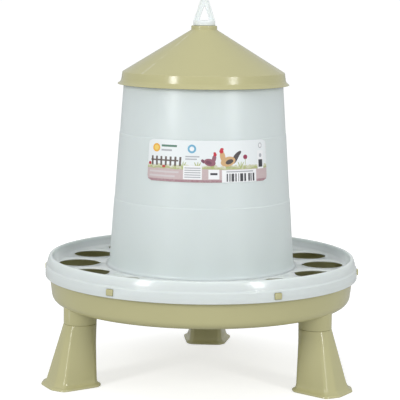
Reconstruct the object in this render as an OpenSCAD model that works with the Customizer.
// Gravity poultry feeder: a feed hopper over a tray with an anti-waste ring, on three push-on feet.
// Millimetres. The origin is on the floor, on the hopper's axis; +Z is up and -Y is the front.

/* [Feeding ring] */
// Radius of the ring's outer wall
ring_r = 132.8; // [132:0.1:134]
// Height of the ring's lower edge above the floor
ring_edge_z = 84.7; // [84:0.1:85]
// Height of the deck's upper face
deck_z = 93.7; // [93:0.1:94]
// Height of the top of the anti-waste rim
rim_top_z = 102; // [101.5:0.1:102.5]
// Number of feeding openings
opening_count = 14; // [8:1:14]
// Turn of the first feeding opening from the front, in degrees
opening_turn = 16.9; // [0:0.1:25]
// Radius of an opening's round outer part
opening_r = 17; // [14:0.1:17.2]
// Radius from the axis to the middle of an opening
opening_centre_r = 104.2; // [103:0.1:104.4]
// Thickness of the deck
deck_t = 1; // [0.8:0.1:1.6]
// Wall of the ring
ring_wall = 1.6; // [1.4:0.1:1.8]

/* [Tray] */
// Height of the tray's flat underside
tray_base_z = 62.7; // [62:0.1:64]
// Outer radius of the tray where it enters the ring
tray_r = 129.3; // [129:0.1:129.8]
// Wall of the tray
tray_wall = 1.7; // [1.4:0.1:1.8]
// Height of a retaining lug's middle
lug_z = 89.2; // [89:0.1:89.6]
// Radius of a lug's outer face
lug_face_r = 134; // [133.5:0.1:135]
// Radius of the feed spreader cone at the tray's floor
spreader_r = 62; // [50:1:70]
// Height of the feed spreader cone
spreader_h = 36; // [25:1:45]

/* [Hopper] */
// Outer radius of the hopper at the deck
hopper_base_r = 78.7; // [77:0.1:79]
// Outer radius of the hopper at its top
hopper_top_r = 66.6; // [66:0.1:66.7]
// Height of the hopper's top edge
hopper_top_z = 256.7; // [254:0.1:256.7]
// Wall of the hopper
hopper_wall = 1.6; // [1.4:0.1:2]
// Depth of each of the two shallow steps on the hopper
hopper_step = 0.35; // [0.2:0.05:0.5]

/* [Label] */
// Turn of the label from the front, in degrees
label_turn = 7; // [0:0.5:14]
// Angle that the label covers, in degrees
label_angle = 84; // [60:1:90]
// Height of the label
label_h = 33.6; // [28:0.1:34]
// Thickness of the label
label_t = 0.2; // [0.15:0.05:0.3]

/* [Lid] */
// Outer radius of the lid's band at its top
band_r = 68.4; // [68.3:0.1:69]
// Radius of the lid's flared edge
flare_r = 72.8; // [72:0.1:74]
// Height of the top of the band
band_top_z = 257.4; // [257.2:0.1:257.8]
// Height of the lid's flared edge
flare_z = 247.2; // [246.5:0.1:248]
// Height of the top of the lid's collar
collar_top_z = 296.3; // [294:0.1:298]
// Outer radius of the lid's collar
collar_r = 10.9; // [10.5:0.1:12]
// Wall of the lid
lid_wall = 1.3; // [1:0.1:1.4]

/* [Hanger] */
// Radius of the hanger's round head
head_r = 9.2; // [8.8:0.1:10]
// Height of the hanger's round head
head_h = 4.4; // [3:0.1:6]
// Height of the hanger's loop above its head
loop_h = 19.6; // [16:0.1:24]
// Thickness of the hanger's loop
loop_t = 4.4; // [3:0.1:6]
// Radius of the hanger's stem
stem_r = 7.2; // [6.5:0.05:7.5]

/* [Feet] */
// Radius from the axis to the middle of each foot's socket
socket_centre_r = 112; // [111:0.1:112.2]
// Outer radius of a socket, and of the top of a foot
socket_r = 13.7; // [13:0.1:13.8]
// Height of the joint between a foot and its socket
joint_z = 51.6; // [50:0.1:54]
// Radius of the bore in a socket
bore_r = 10.2; // [9.5:0.1:10.4]
// Depth of the bore in a socket
bore_depth = 10.2; // [8:0.1:10.4]
// Radius from the axis to a foot's outer face at the floor
foot_outer_r = 139.4; // [138:0.1:140]
// Radius from the axis to a foot's inner face at the floor
foot_inner_r = 101.4; // [100:0.1:102]
// Half of a foot's width at its shoulders, where it is widest, at the floor
foot_half_outer = 19; // [17:0.1:20]
// Half of a foot's width near its inner face, at the floor
foot_half_inner = 14.6; // [14:0.1:16]
// Width of the flange round the bottom of a foot
flange_w = 3.2; // [2:0.1:3.6]
// Thickness of that flange
flange_t = 1.9; // [1.5:0.1:2.5]

/* [Hidden] */
$fn = 96;
KHAKI = "#bdb88f";
NATURAL = "#dde4e2";
eps = 0.01;
run_clearance = 0.05;      // radial, round the hanger's stem and the feet's spigots
seat_clearance = 0.1;      // axial, between pieces that rest on each other and come apart

foot_angles = [-60, 60, 180];
lug_count = 6;
lug_w = 6;
lug_h = 5;
window_gap = 0.3;

// Feeding ring
ridge_z = ring_edge_z + 8.5;
ridge_r = ring_r - 1;
bead_r = 1.3;
bead_centre_r = ring_r - 4.5;
bead_z = rim_top_z - bead_r;
seat_z = rim_top_z - 3.4;  // the ring's inner roof, which rests on the tray's rim
deck_outer_r = ring_r - 11;
deck_inner_r = hopper_base_r - 2.6;
deck_under_z = deck_z - deck_t;
tip_r = 3;
tip_centre_r = opening_centre_r - 15.6;

// Tray
tray_corner_r = 7.5;
tray_foot_r = tray_r - 2.8;
tray_floor_z = tray_base_z + tray_wall;
rim_r = bead_centre_r + 0.5;
spreader_tip_r = 5;
rib_t = 2;
rib_l = 10;
rib_h = 4.5;
socket_top_z = tray_base_z + 4.6;

// Hopper: three tapered stages, each a little narrower than the one below it
hopper_foot_r = hopper_base_r + 2.6;
hopper_foot_h = 2.6;
stage_z = [deck_z, 150.9, 206.2, hopper_top_z];
taper = (hopper_base_r - hopper_top_r - 2 * hopper_step) / (hopper_top_z - deck_z);
function hopper_r(z, stage) = hopper_base_r - taper * (z - deck_z) - stage * hopper_step;

// Label
label_top_z = stage_z[2] - 0.1;
label_bottom_z = label_top_z - label_h;
label_corner_r = 4;

// Lid
cone_foot_z = collar_top_z - 3.5;
cone_slope = (cone_foot_z - band_top_z) / (band_r - collar_r);
cone_drop = lid_wall * sqrt(1 + cone_slope * cone_slope);  // the cone's wall, measured straight down
band_low_z = flare_z + 4;
band_low_r = band_r + 0.9;
lid_plate = 1.8;
lid_hole_r = stem_r + run_clearance;

// Hanger
head_z = collar_top_z + seat_clearance;
loop_z = head_z + head_h;
stem_h = lid_plate + 0.6;
barb_h = 2.6;
barb_r = stem_r + 1.1;
loop_foot_half = 9.1;
loop_top_half = 2.9;
loop_hole_half = 4.5;
loop_hole_h = 12.4;

// Feet
foot_half_face = 10.2;
foot_shoulder_r = foot_outer_r - 5.4;
foot_corner = 3.2;
foot_wall = 2;
spigot_h = bore_depth - 0.4;
spigot_r = bore_r - run_clearance;
foot_top_z = joint_z - seat_clearance;
pip_z = 12;
pip_r = 0.9;
pip_h = 0.6;
pip_face_r = foot_inner_r + (socket_centre_r - socket_r - foot_inner_r) * pip_z / foot_top_z;

// Points on an arc round [r, z], from angle a to angle b
function arc(r, z, radius, a, b, steps) =
    [for (i = [0:steps]) [r + radius * cos(a + (b - a) * i / steps), z + radius * sin(a + (b - a) * i / steps)]];

// Places its children at the given angle from the front, turning towards +X, with +X pointing outwards
module outward(angle) {
    rotate([0, 0, angle - 90]) children();
}

// Outline of the ring's section: outer wall, rim bead, inner wall and deck
function ring_section() = concat(
    [[ring_r - ring_wall, ring_edge_z], [ring_r, ring_edge_z], [ring_r, ring_edge_z + 5.3], [ridge_r, ridge_z]],
    arc(bead_centre_r, bead_z, bead_r, 20, 160, 10),
    [[deck_outer_r + 3.2, deck_z + 3], [deck_outer_r + 1.1, deck_z + 0.7], [deck_outer_r, deck_z]],
    [[deck_inner_r, deck_z], [deck_inner_r, deck_under_z], [deck_outer_r + 0.6, deck_under_z]],
    [[deck_outer_r + 4.2, deck_under_z + 3.2], [bead_centre_r - 1.2, seat_z], [bead_centre_r + 0.6, seat_z]],
    [[ridge_r - ring_wall, ridge_z - 0.4], [ring_r - ring_wall, ring_edge_z + 5]]
);

// One feeding opening: a round end towards the rim, drawn in along two tangents to a small tip towards the hopper
module opening_outline() {
    lean = acos((opening_r - tip_r) / (opening_centre_r - tip_centre_r));
    translate([opening_centre_r, 0]) circle(r = opening_r);
    translate([tip_centre_r, 0]) circle(r = tip_r, $fn = 32);
    polygon([
        [opening_centre_r - opening_r * cos(lean), opening_r * sin(lean)],
        [tip_centre_r - tip_r * cos(lean), tip_r * sin(lean)],
        [tip_centre_r - tip_r * cos(lean), -tip_r * sin(lean)],
        [opening_centre_r - opening_r * cos(lean), -opening_r * sin(lean)]
    ]);
}

module feeding_ring() {
    color(NATURAL)
    difference() {
        rotate_extrude($fn = 180) polygon(ring_section());
        translate([0, 0, deck_under_z - 1])
            linear_extrude(height = deck_t + 2)
                for (i = [0:opening_count - 1]) outward(opening_turn + i * 360 / opening_count) opening_outline();
        for (i = [0:lug_count - 1])
            outward(30 + i * 360 / lug_count)
                translate([ring_r - 4, -lug_w / 2 - window_gap, lug_z - lug_h / 2 - window_gap])
                    cube([8, lug_w + 2 * window_gap, lug_h + 2 * window_gap]);
    }
}

// The tray's outer shape, closed at the top
function tray_outer_section() = concat(
    [[0, tray_base_z]],
    arc(tray_foot_r - tray_corner_r, tray_base_z + tray_corner_r, tray_corner_r, -90, 0, 8),
    [[tray_r, ring_edge_z], [tray_r, lug_z + 3], [rim_r, seat_z], [0, seat_z]]
);

// What the tray's inside takes away, down to the floor
function tray_inner_section() = concat(
    [[0, tray_floor_z]],
    arc(tray_foot_r - tray_corner_r, tray_floor_z + tray_corner_r - tray_wall, tray_corner_r - tray_wall, -90, 0, 8),
    [[tray_r - tray_wall, ring_edge_z], [tray_r - tray_wall, lug_z + 3]],
    [[rim_r - tray_wall, seat_z], [rim_r - tray_wall, seat_z + 5], [0, seat_z + 5]]
);

// The spreader is a thin cone, hollow underneath
module spreader(inset, z) {
    translate([0, 0, z]) cylinder(h = spreader_h - inset, r1 = spreader_r - inset, r2 = spreader_tip_r - inset / 2);
    translate([0, 0, z + spreader_h - inset])
        scale([1, 1, 0.5]) sphere(r = spreader_tip_r - inset / 2, $fn = 32);
}

module socket() {
    translate([socket_centre_r, 0, joint_z]) cylinder(h = socket_top_z - joint_z, r = socket_r);
    rib_start = socket_centre_r - socket_r;
    translate([rib_start + 1, rib_t / 2, tray_base_z + eps])
        rotate([90, 0, 0])
            linear_extrude(height = rib_t)
                polygon([[0, 0.5], [0, -rib_h], [-rib_l, 0], [-rib_l, 0.5]]);
}

module tray() {
    color(KHAKI)
    difference() {
        union() {
            difference() {
                union() {
                    rotate_extrude($fn = 180) polygon(tray_outer_section());
                    for (a = foot_angles) outward(a) socket();
                }
                rotate_extrude($fn = 180) polygon(tray_inner_section());
            }
            spreader(0, tray_base_z);
            for (i = [0:lug_count - 1])
                outward(30 + i * 360 / lug_count)
                    translate([tray_r - 1, -lug_w / 2, lug_z - lug_h / 2])
                        cube([lug_face_r - tray_r + 1, lug_w, lug_h]);
        }
        spreader(tray_wall, tray_base_z - eps);
        for (a = foot_angles)
            outward(a)
                translate([socket_centre_r, 0, joint_z - eps]) cylinder(h = bore_depth + eps, r = bore_r);
    }
}

// One side of the hopper's section: the three stages, going up
function hopper_side(inset) = [
    for (stage = [0:2], end = [0, 1]) [hopper_r(stage_z[stage + end], stage) - inset, stage_z[stage + end]]
];

module hopper() {
    outer = concat(
        [[hopper_foot_r, deck_z], [hopper_base_r, deck_z + hopper_foot_h]],
        [for (i = [1:5]) hopper_side(0)[i]]
    );
    inner = hopper_side(hopper_wall);
    color(NATURAL)
        rotate_extrude($fn = 180)
            polygon(concat(outer, [for (i = [5:-1:0]) inner[i]]));
}

module label() {
    low = hopper_r(label_bottom_z, 1);
    high = hopper_r(label_top_z, 1);
    color("white")
    outward(label_turn)
    intersection() {
        rotate([0, 0, -label_angle / 2])
            rotate_extrude(angle = label_angle, $fn = 180)
                polygon([
                    [low, label_bottom_z], [low + label_t, label_bottom_z],
                    [high + label_t, label_top_z], [high, label_top_z]
                ]);
        translate([0, 0, label_bottom_z])
            rotate([90, 0, 90])
                linear_extrude(height = hopper_base_r + 5)
                    rounded_rectangle(low * sin(label_angle / 2) - 0.05, label_h, label_corner_r);
    }
}

// A rectangle with round corners, centred on Y and standing on X
module rounded_rectangle(half_w, height, r) {
    translate([-half_w, r]) square([2 * half_w, height - 2 * r]);
    translate([r - half_w, 0]) square([2 * (half_w - r), height]);
    for (side = [-1, 1], y = [r, height - r]) translate([side * (half_w - r), y]) circle(r = r);
}

module lid() {
    outer = concat(
        [[lid_hole_r, collar_top_z], [collar_r, collar_top_z], [collar_r, cone_foot_z], [band_r, band_top_z]],
        [[band_low_r, band_low_z], [band_low_r + 0.9, flare_z + 2], [flare_r - 0.8, flare_z + 0.5], [flare_r, flare_z]]
    );
    inner = [
        [flare_r - 1.4, flare_z], [band_low_r - 0.5, flare_z + 2.2], [band_low_r - lid_wall, band_low_z],
        [band_r - lid_wall, band_top_z + cone_slope * lid_wall - cone_drop],
        [collar_r - lid_wall, cone_foot_z + cone_slope * lid_wall - cone_drop],
        [collar_r - lid_wall, collar_top_z - lid_plate], [lid_hole_r, collar_top_z - lid_plate]
    ];
    color(KHAKI)
        rotate_extrude($fn = 180)
            polygon(concat(outer, inner));
}

// The loop's outline, narrowing to a small flat top
function loop_outline() = [
    [-loop_foot_half, 0], [-loop_top_half - 0.4, loop_h - 2.4], [-loop_top_half + 0.8, loop_h],
    [loop_top_half - 0.8, loop_h], [loop_top_half + 0.4, loop_h - 2.4], [loop_foot_half, 0]
];

module hanger() {
    color(NATURAL) {
        translate([0, loop_t / 2, loop_z - eps])
            rotate([90, 0, 0])
                linear_extrude(height = loop_t)
                    difference() {
                        polygon(loop_outline());
                        polygon([[-loop_hole_half, 0.4], [0, loop_hole_h], [loop_hole_half, 0.4]]);
                    }
        translate([0, 0, head_z]) cylinder(h = head_h, r = head_r);
        translate([0, 0, head_z - seat_clearance - stem_h]) cylinder(h = stem_h + seat_clearance + eps, r = stem_r);
        translate([0, 0, head_z - seat_clearance - stem_h - barb_h])
            cylinder(h = barb_h, r1 = stem_r - 1, r2 = barb_r);
    }
}

// A foot's outline in plan at the floor, with its origin on the object's axis
module foot_outline() {
    half = [
        [foot_outer_r, foot_half_face], [foot_shoulder_r, foot_half_outer],
        [foot_inner_r + foot_corner, foot_half_inner], [foot_inner_r, foot_half_inner - foot_corner]
    ];
    polygon(concat(half, [for (i = [3:-1:0]) [half[i][0], -half[i][1]]]));
}

// The foot's tapered body, from its chamfered base to its round top, shrunk by the given wall
module foot_body(inset) {
    hull() {
        translate([0, 0, -eps]) linear_extrude(height = eps) offset(delta = -inset) foot_outline();
        translate([socket_centre_r, 0, foot_top_z - 1]) cylinder(h = 1, r = socket_r - inset, $fn = 64);
    }
}

module foot(angle) {
    color(KHAKI)
    outward(angle)
    difference() {
        union() {
            translate([0, 0, eps]) foot_body(0);
            linear_extrude(height = flange_t) offset(r = flange_w, $fn = 32) foot_outline();
            translate([socket_centre_r, 0, foot_top_z - 1]) cylinder(h = spigot_h + 1, r = spigot_r);
            translate([pip_face_r + 1, 0, pip_z]) rotate([0, -90, 0]) cylinder(h = pip_h + 1, r = pip_r, $fn = 24);
        }
        translate([0, 0, -eps]) foot_body(foot_wall);
        translate([socket_centre_r, 0, 0]) cylinder(h = joint_z + bore_depth, r = spigot_r - foot_wall);
    }
}

module foot_left() { foot(foot_angles[0]); }
module foot_right() { foot(foot_angles[1]); }
module foot_rear() { foot(foot_angles[2]); }

tray();
feeding_ring();
hopper();
label();
lid();
hanger();
foot_left();
foot_right();
foot_rear();
